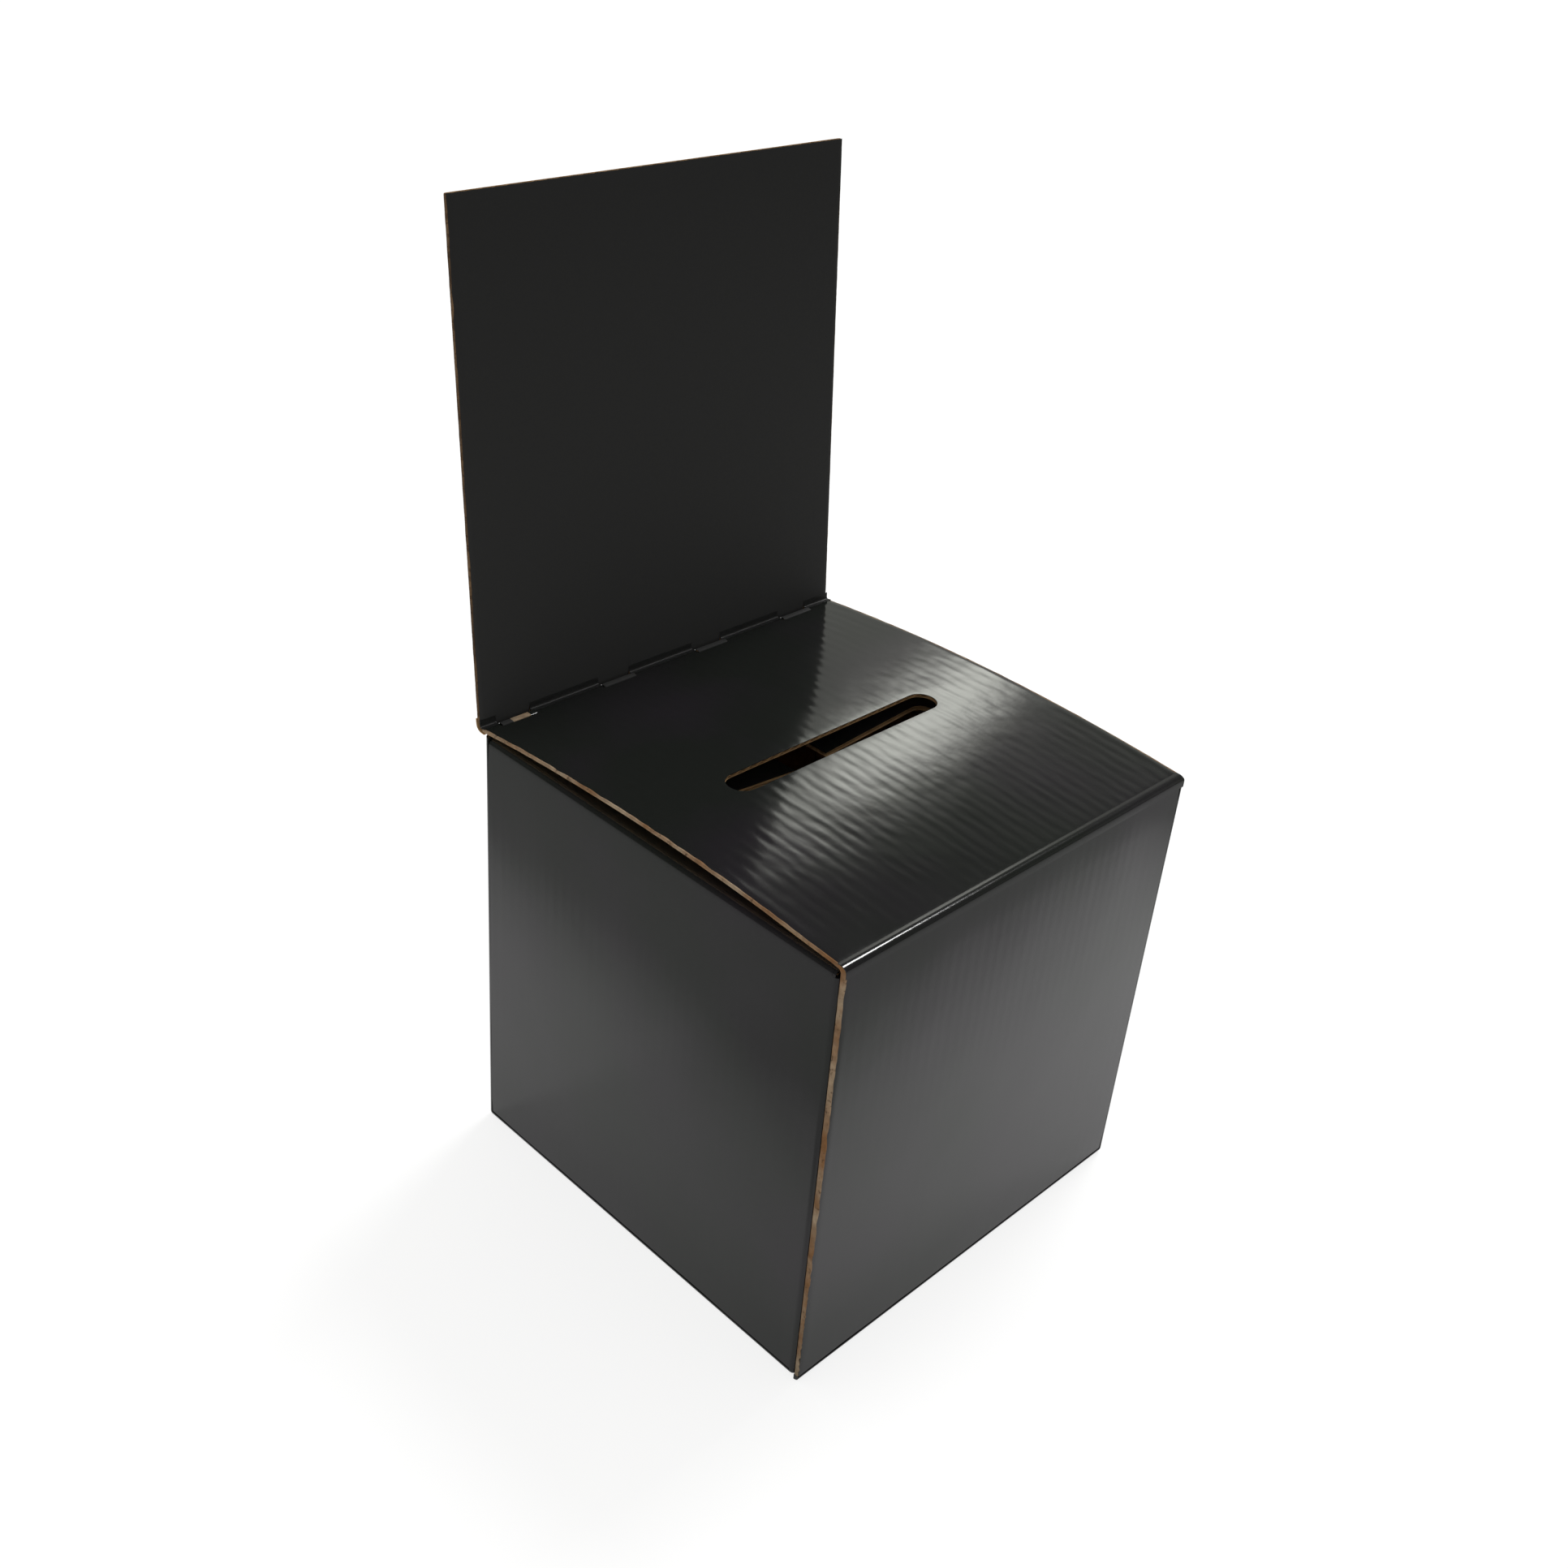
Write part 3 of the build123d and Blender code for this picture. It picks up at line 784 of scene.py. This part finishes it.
def plies(panel, body, face, tools, seed, relief=WALL_RELIEF, rows=(24, 8, 24)):
    """Makes a panel's three plies, cuts them, puts them in place and lets each stand for its node."""
    flutes = max(1, round(panel.width / FLUTE_PITCH))
    wobble = LID_WOBBLE if panel.name == "lid" else WALL_WOBBLE
    outer = panel.board - LINER - relief
    wave = panel.board - 2 * LINER - MEDIUM
    kinds = (
        ("outer_liner", face, "black_liner", outer, relief, LINER, OUTER_UNEVEN, wobble),
        ("fluting", FLUTING, "fluting", LINER, wave, MEDIUM, 0.0, 0.0),
        ("inner_liner", KRAFT, "kraft_liner", WALL_WOBBLE, INNER_RELIEF, LINER, INNER_UNEVEN, WALL_WOBBLE),
    )
    for (kind, finish, slot, base, depth, thickness, uneven, ripple), count in zip(kinds, rows):
        mesh = ply_mesh(
            finish, Width=panel.width, Length=panel.length, Flutes=flutes, Samples=RIB_SAMPLES, Rows=count,
            Seed=seed, Base=base, Relief=depth, Thickness=thickness, Unevenness=uneven, Wobble=ripple)
        mesh = cut_mesh(mesh, finish, tools)
        set_points(mesh, panel.place(crushed(points_of(mesh), panel, seed)))
        node = panel.name + "_" + kind
        made = finished(node + "_ply", mesh, finish)
        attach(made, body)
        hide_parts(node)


def raw_edge(panel, side, body, seed, start=0.0, finish=EDGE, crease=None, ragged=0.0):
    """The torn, pressed paper along a panel's die-cut side, with bites torn out of a ragged lower end."""
    rings = []
    upper, lower = [panel.board / 2 * (1 - crush) * EDGE_SHARE for crush in panel.crush]
    full, middle = (upper + lower) / 2, panel.board / 2 + (upper - lower) / 2
    for y in np.arange(start, panel.length + EDGE_STEP / 2, EDGE_STEP):
        # The bare numbers in a place only pick another part of the noise
        here = Vector((y / EDGE_WAVE, seed, 0))
        fine = Vector((y / EDGE_FINE, seed, 5))
        calm = 1.0 if crease is None else min(1.0, abs(y - crease) / EDGE_CALM)
        half = full * (1 + EDGE_SWELL * calm * noise.noise(here))
        slide = EDGE_SLIDE * full * calm * noise.noise(here + Vector((0, 9, 0)))
        bitten = max(0.0, EDGE_BITTEN + noise.noise(Vector((y / EDGE_BITE, seed, 3))))
        bite = ragged * max(0.0, 1 - y / EDGE_RAGGED) * bitten
        out = EDGE_ROUGH * (1 + noise.noise(here * 2)) / 2 + EDGE_ROUGH * (1 + noise.noise(fine)) / 2
        ring = []
        for k in range(EDGE_POINTS + 1):
            across = 2 * k / EDGE_POINTS - 1
            dent = EDGE_ROUGH * noise.noise(Vector((y / EDGE_GRAIN, across * 2.5, seed)))
            depth = out + abs(dent) + EDGE_BULGE * across**4
            ring.append((depth, y, middle + slide + half * min(across, 1 - bite)))
        ring.append((EDGE_DEPTH, y, middle + slide + half * (EDGE_BACK - bite)))
        ring.append((EDGE_DEPTH, y, middle + slide - half * EDGE_BACK))
        ring = np.array(ring)
        if side == "right":
            ring[:, 0] = panel.width - ring[:, 0]
        rings.append(panel.place(ring))
    made = loft(panel.name + "_" + side + "_raw_edge", rings, finish)
    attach(made, body)


def walls():
    """The tube's four walls. The back one's top is cut down to its lock tabs."""
    turns = {"front_wall": -Y_AXIS, "right_wall": X_AXIS, "back_wall": Y_AXIS, "left_wall": -X_AXIS}
    for number, (name, outward) in enumerate(turns.items()):
        panel = Panel(name, Z_AXIS, outward, cut_sides="l" if name == "front_wall" else "")
        tools = []
        if name == "back_wall":
            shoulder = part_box("front_wall_outer_liner")[1].z - panel.corner[2]
            edges = cut_edges(TAB_SIDE_GAP, -OVERRUN, cad_high.x - cad_low.x + OVERRUN)
            for low, high in spans_of(edges):
                span = [panel.corner[0] - cad_low.x - high, panel.corner[0] - cad_low.x - low]
                tools.append(rectangle(span, (shoulder, panel.length + OVERRUN)))
        plies(panel, "box_body", BLACK, tools, seed=number + 1.5)
        if name == "front_wall":
            raw_edge(panel, "left", "box_body", 31.0, crease=panel.length, ragged=1.1)


def lid():
    """The crowned lid, with its slot and the cuts along its rear edge."""
    panel = Lid()
    x0 = SLOT_MIDDLE[0] - cad_low.x
    y0 = SLOT_MIDDLE[1]
    panel.hole = (x0, panel.along(y0), (SLOT_LENGTH - SLOT_WIDTH) / 2, SLOT_WIDTH / 2)
    slot = rounded_bar(
        (x0 - SLOT_LENGTH / 2, x0 + SLOT_LENGTH / 2),
        (panel.along(y0 - SLOT_WIDTH / 2), panel.along(y0 + SLOT_WIDTH / 2)), SLOT_WIDTH / 2 * SLOT_ROUND)
    front = panel.along(LID_CUT_FRONT)
    cuts = [rectangle((s, s + CUT_LENGTH), (front, panel.length + OVERRUN)) for s in CUT_STARTS]
    plies(panel, "lid", BLACK, [slot] + cuts, seed=11.5, relief=RIB_RELIEF, rows=(120, 90, 90))
    raw_edge(panel, "left", "lid", 41.0, crease=0.0)
    raw_edge(panel, "right", "lid", 42.0, crease=0.0)


def header():
    """The header card, with its tongues below it in the cuts."""
    panel = Panel("header", Z_AXIS, -Y_AXIS, pivot=joint_place("header_hinge"), turn=-HEADER_LEAN,
                  cut_sides="lr", crush=HEADER_CRUSH)
    edges = cut_edges(TONGUE_SIDE_GAP, -OVERRUN, panel.width + OVERRUN)
    tongue = panel.length - HEADER_HEIGHT
    tools = [rectangle(span, (-OVERRUN, tongue)) for span in spans_of(edges)]
    plies(panel, "header", MATT, tools, seed=21.5)
    raw_edge(panel, "left", "header", 51.0, start=tongue, finish=HEADER_EDGE)
    raw_edge(panel, "right", "header", 52.0, start=tongue, finish=HEADER_EDGE)


def dust_flaps():
    """The two flaps under the lid, with the open notch below the slot."""
    for side, name, droop in ((-1, "left", LEFT_DROOP), (1, "right", -RIGHT_DROOP)):
        body = name + "_dust_flap"
        panel = Panel(body, -side * X_AXIS, Z_AXIS, pivot=joint_place(body + "_hinge"), turn=droop,
                      about=Y_AXIS)
        middle = abs(panel.corner[1] - SLOT_MIDDLE[1])
        root = abs(panel.corner[0]) - (SLOT_LENGTH / 2 + side * SLOT_MIDDLE[0] + SLOT_NOTCH_PAST)
        end, far = panel.length, panel.length + 3 * OVERRUN
        notch = rounded_bar(
            (middle - SLOT_NOTCH / 2, middle + SLOT_NOTCH / 2), (root, far), SLOT_NOTCH_CORNER)
        near_side = [(0, 0), (FLAP_TAPER, end), (FLAP_TAPER, far), (-OVERRUN, far), (-OVERRUN, 0)]
        far_side = [(panel.width - x, y) for x, y in near_side][::-1]
        tools = [notch, prism(near_side), prism(far_side)]
        plies(panel, body, BLACK, tools, seed=31.5 + side, relief=RIB_RELIEF, rows=(24, 12, 24))


# Creases: the liner runs on over each fold

def bent_liner(name, profile, along, span, finish, dent, seed, calm=0.0, thickness=LINER):
    """A liner bent over a crease. The profile's points are its outer side, and it runs along an axis."""
    last = len(profile) - 1
    across = []
    for k in range(last + 1):
        step = profile[min(k + 1, last)] - profile[max(k - 1, 0)]
        across.append(step.cross(along).normalized())
    count = max(2, round((span[1] - span[0]) / CREASE_STEP))
    rings = []
    for row in range(count + 1):
        w = span[0] + (span[1] - span[0]) * row / count
        outer, inner = [], []
        for k, (point, out) in enumerate(zip(profile, across)):
            inside = min(k, last - k) / last
            soft = min(1.0, max(0.0, DENT_RISE * (inside - calm)))
            slow = noise.noise(Vector((w / DENT_LONG, k * 0.25, seed)))
            sharp = noise.noise(Vector((w / DENT_SHORT, k * 0.4, seed + 7)))
            depth = soft * dent * (1 + slow + DENT_SHORT_SHARE * sharp) / 2
            outer.append(point - out * depth + along * w)
            inner.append(point - out * (depth + thickness) + along * w)
        rings.append([tuple(p) for p in outer + inner[::-1]])
    return loft(name, rings, finish)


def set_out(pivot, steps):
    """Places from a pivot, for steps in mm towards the back and up."""
    return [pivot + Vector((0, y * MM, z * MM)) for y, z in steps]


def lid_crease():
    """The crease over the front wall: a ridge, a rolled edge and a pressed groove above its face."""
    pivot = Vector(joint_place("lid_hinge"))
    half = BOARD / 2
    outer = bent_liner(
        "lid_crease_outer_liner", set_out(pivot, LID_CREASE_OUTSIDE)[::-1], X_AXIS,
        (cad_low.x + EDGE_SETBACK, cad_high.x - CREASE_STOP), BLACK, dent=0.06 * MM, seed=3.0,
        thickness=0.5 * MM, calm=0.25)
    inner = bent_liner(
        "lid_crease_inner_liner", set_out(pivot, LID_CREASE_INSIDE), X_AXIS,
        (cad_low.x + CREASE_INNER_STOP, cad_high.x - CREASE_INNER_STOP), KRAFT, dent=0.15 * MM, seed=4.0)
    # Where each one leaves the wall and where it joins the lid: towards the back, and up
    turns = (
        (outer, (-half, -0.6 * half), (half, half)),
        (inner, (half, -half), (2 * half, -half / 2)),
    )
    for piece, start, end in turns:
        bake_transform(piece)
    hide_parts("lid_crease")


def header_crease():
    """The header's crease, in short runs between the cuts: the printed liner, and the brown one behind."""
    pivot = Vector(joint_place("header_hinge"))
    edges = cut_edges(0, 0, cad_high.x - cad_low.x)
    spans = [(cad_low.x + low, cad_low.x + high) for low, high in spans_of(edges)]
    kinds = (
        ("outer", HEADER_CREASE_FRONT[::-1], CREASED, 0.1 * MM),
        ("inner", HEADER_CREASE_REAR, KRAFT, 0.2 * MM),
    )
    for side, steps, finish, dent in kinds:
        profile = set_out(pivot, steps)
        runs = [bent_liner("header_crease_run", profile, X_AXIS, span, finish, dent=dent, seed=8.0)
                for span in spans]
        made = joined("header_crease_" + side + "_liner", runs)
        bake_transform(made)
        if side == "outer":
            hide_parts("header_crease")


def dust_flap_folds():
    """The liner over each dust flap's fold, from its wall onto the flap."""
    for side, name, droop in ((-1, "left", LEFT_DROOP), (1, "right", RIGHT_DROOP)):
        body = name + "_dust_flap"
        pivot = Vector(joint_place(body + "_hinge"))
        low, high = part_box(name + "_dust_flap_fold")
        radius = high.z - pivot.z + FOLD_PROUD
        bend = radius - FOLD_SINK
        out = side * X_AXIS
        profile = [pivot + out * bend - Z_AXIS * drop * MM for drop in FOLD_DROPS]
        for k in range(FOLD_STEPS + 1):
            turn = math.radians((90 - math.degrees(droop) / 2) * k / FOLD_STEPS)
            profile.append(pivot + bend * (math.cos(turn) * out + math.sin(turn) * Z_AXIS))
        inward = -out * math.cos(droop) - Z_AXIS * math.sin(droop)
        profile += [profile[-1] + inward * reach * MM for reach in FOLD_REACHES]
        if side > 0:
            profile = profile[::-1]
        made = bent_liner(name + "_dust_flap_fold_liner", profile, Y_AXIS, (low.y - FOLD_LONGER, high.y),
                          BLACK, dent=0.2 * MM, seed=15.0 + side)
        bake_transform(made)


def corner_edge():
    """The raw edge where the lid's left side turns round the crease and runs on down the front wall."""
    pivot = Vector(joint_place("lid_hinge"))
    rings = []
    for k, sides in enumerate(CORNER_EDGE):
        outer, inner = set_out(pivot, sides)
        ring = []
        for n in range(EDGE_POINTS + 1):
            share = n / EDGE_POINTS
            dent = EDGE_ROUGH * (1 + noise.noise(Vector((k * 0.5, share * 5, 61)))) / 2
            place = inner.lerp(outer, share)
            x = cad_low.x + CORNER_INSET + dent + CORNER_BULGE * (2 * share - 1)**4
            ring.append((x, place.y, place.z))
        for share in CORNER_BACK:
            place = inner.lerp(outer, share)
            ring.append((cad_low.x + EDGE_DEPTH, place.y, place.z))
        rings.append(ring)
    made = loft("corner_raw_edge", rings, EDGE)
    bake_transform(made)


def tab_edges():
    """The liner that the die rolled over the lock tabs' tops. The first one is torn to brown paper."""
    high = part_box("back_wall_outer_liner")[1]
    profile = [Vector((0, high.y - y * MM, high.z + z * MM)) for y, z in TAB_ROLL][::-1]
    spans = []
    for start in CUT_STARTS:
        low = cad_low.x + start + TAB_ROLL_GAP
        spans.append((low, low + CUT_LENGTH - 2 * TAB_ROLL_GAP))
    left, right = spans[0]
    torn = [left + (right - left) * share for share in TAB_TORN]
    kinds = (
        ("tab_rolled_edges", MATT, "crease_black", [(left, torn[0])] + spans[1:]),
        ("tab_torn_paper", EDGE, "fluting", [torn]),
        ("tab_curled_liner", BLACK, "crease_black", [(torn[1], right)]),
    )
    for name, finish, slot, runs in kinds:
        rolls = [bent_liner("tab_roll", profile, X_AXIS, run, finish, dent=0.08 * MM, seed=70.0 + number,
                            thickness=0.2 * MM) for number, run in enumerate(runs)]
        made = joined(name, rolls)
        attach(made, "box_body")


def feet():
    """The pressed corners that the box stands on, where each upright fold meets the bottom ones."""
    for name, (side, end) in FEET.items():
        low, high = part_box(name + "_fold")
        x = high.x if side < 0 else low.x
        y = high.y if end < 0 else low.y
        rings = []
        for row in range(FOOT_STEPS + 1):
            dip = FOOT_DIP * row / FOOT_STEPS
            reach = low.z * math.cos(dip)
            z = low.z * (1 - math.sin(dip))
            ring = [(x, y, z)]
            for k in range(FOOT_STEPS + 1):
                turn = math.pi / 2 * k / FOOT_STEPS
                ring.append((x + side * reach * math.cos(turn), y + end * reach * math.sin(turn), z))
            rings.append(ring)
        made = loft(name + "_foot", rings, BLACK)
        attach(made, "box_body")


def dress_nodes():
    """The finish of every node that shows as it is modelled."""
    finishes = {"inner_liner": KRAFT, "fluting": FLUTING, "seam_glue": GLUE}
    for name, node in frame["nodes"].items():
        finish = next((f for ending, f in finishes.items() if name.endswith(ending)), BLACK)
        node.data.materials.clear()
        node.data.materials.append(finish)


# The studio

def backdrop_level(tree, way):
    """How bright the gloss sees the room: pale low down at the back right, with a window, else dim."""
    x, y, z = add(tree, SPLIT, (way,)).outputs
    height = add(tree, RANGE, (z, *ROOM_UP_BAND))
    behind = add(tree, MATH, (x, y), operation="ADD")
    behind = add(tree, MATH, (behind, 0.7), operation="MULTIPLY")  # at most about one
    behind = add(tree, RANGE, (behind, *ROOM_BACK_BAND))
    pale = add(tree, MATH, (height, behind), operation="MULTIPLY")

    # The window's own axes, and how far a way is from its middle along them, in its sizes
    sideways = Vector((math.cos(WINDOW_AZIMUTH), -math.sin(WINDOW_AZIMUTH), 0))
    towards = Vector((
        math.cos(WINDOW_ELEVATION) * math.sin(WINDOW_AZIMUTH),
        math.cos(WINDOW_ELEVATION) * math.cos(WINDOW_AZIMUTH), math.sin(WINDOW_ELEVATION)))
    tilt = Matrix.Rotation(WINDOW_TILT, 3, towards)
    axes = (tilt @ sideways, tilt @ sideways.cross(towards))
    spread = 0.0
    reaches = []
    for axis, size in zip(axes, WINDOW_SIZE):
        reach = add(tree, VECTOR_MATH, (way, axis / size), operation="DOT_PRODUCT").outputs["Value"]
        squared = add(tree, MATH, (reach, reach), operation="MULTIPLY")
        spread = add(tree, MATH, (spread, squared), operation="SUBTRACT")
        reaches.append(reach)
    glow = add(tree, MATH, (spread,), operation="EXPONENT")
    glow = add(tree, MATH, (glow, WINDOW_LEVEL), operation="MULTIPLY")
    foot = add(tree, RANGE, (z, *WINDOW_FOOT_BAND))
    glow = add(tree, MATH, (glow, foot), operation="MULTIPLY")
    corner = add(tree, MATH, (reaches[1], WINDOW_BLIND_SLANT), operation="MULTIPLY")
    corner = add(tree, MATH, (reaches[0], corner), operation="SUBTRACT")
    blind = add(tree, RANGE, (corner, *WINDOW_BLIND_BAND))
    glow = add(tree, MATH, (glow, blind), operation="MULTIPLY")
    return add(tree, MATH, (pale, glow), operation="ADD")


def studio():
    """A white floor that keeps the box's shadow and shows the gloss a painted pool of light, a pale room
    with a window, and a soft key light.
    """
    half = FLOOR_HALF
    floor = mesh_object("floor", [(-half, -half, 0), (half, -half, 0), (half, half, 0), (-half, half, 0)],
                        [(0, 1, 2, 3)], pale_floor())
    floor.location.z = -FLOOR_DROP

    world = bpy.data.worlds.new("studio")
    bpy.context.scene.world = world
    tree = empty_tree(world)
    seen, by_camera = seen_as_background(tree)
    way = add(tree, "ShaderNodeTexCoord").outputs["Generated"]
    level = add(tree, MATH, (by_camera, backdrop_level(tree, way)), operation="MAXIMUM")
    room = add(tree, BACKGROUND, {"Color": linear("fbfbf8"), "Strength": ROOM_LEVEL})
    tint = two_tone(tree, by_camera, 0, 1, "f7f9f0", "ffffff")
    white = add(tree, BACKGROUND, {"Color": tint, "Strength": level})
    both = add(tree, "ShaderNodeMixShader", (seen, room, white))
    add(tree, "ShaderNodeOutputWorld", {"Surface": both})

    sun = bpy.data.lights.new("soft_key", "SUN")
    sun.energy = KEY_STRENGTH
    sun.angle = math.radians(KEY_WIDTH_DEG)
    key = placed("soft_key", sun)
    key.rotation_euler = Vector(KEY_TOWARDS).to_track_quat("Z", "Y").to_euler()


def camera():
    data = bpy.data.cameras.new("camera")
    data.lens = CAMERA_LENS_MM
    data.sensor_width = CAMERA_SENSOR_MM
    data.shift_x, data.shift_y = CAMERA_SHIFT
    made = placed("camera", data)
    made.location = CAMERA_PLACE
    made.rotation_euler = [math.radians(a) for a in CAMERA_TURN_DEG]
    bpy.context.scene.camera = made


bpy.context.scene.view_settings.view_transform = "Standard"
dress_nodes()
walls()
lid()
header()
dust_flaps()
lid_crease()
header_crease()
dust_flap_folds()
corner_edge()
tab_edges()
feet()
studio()
camera()
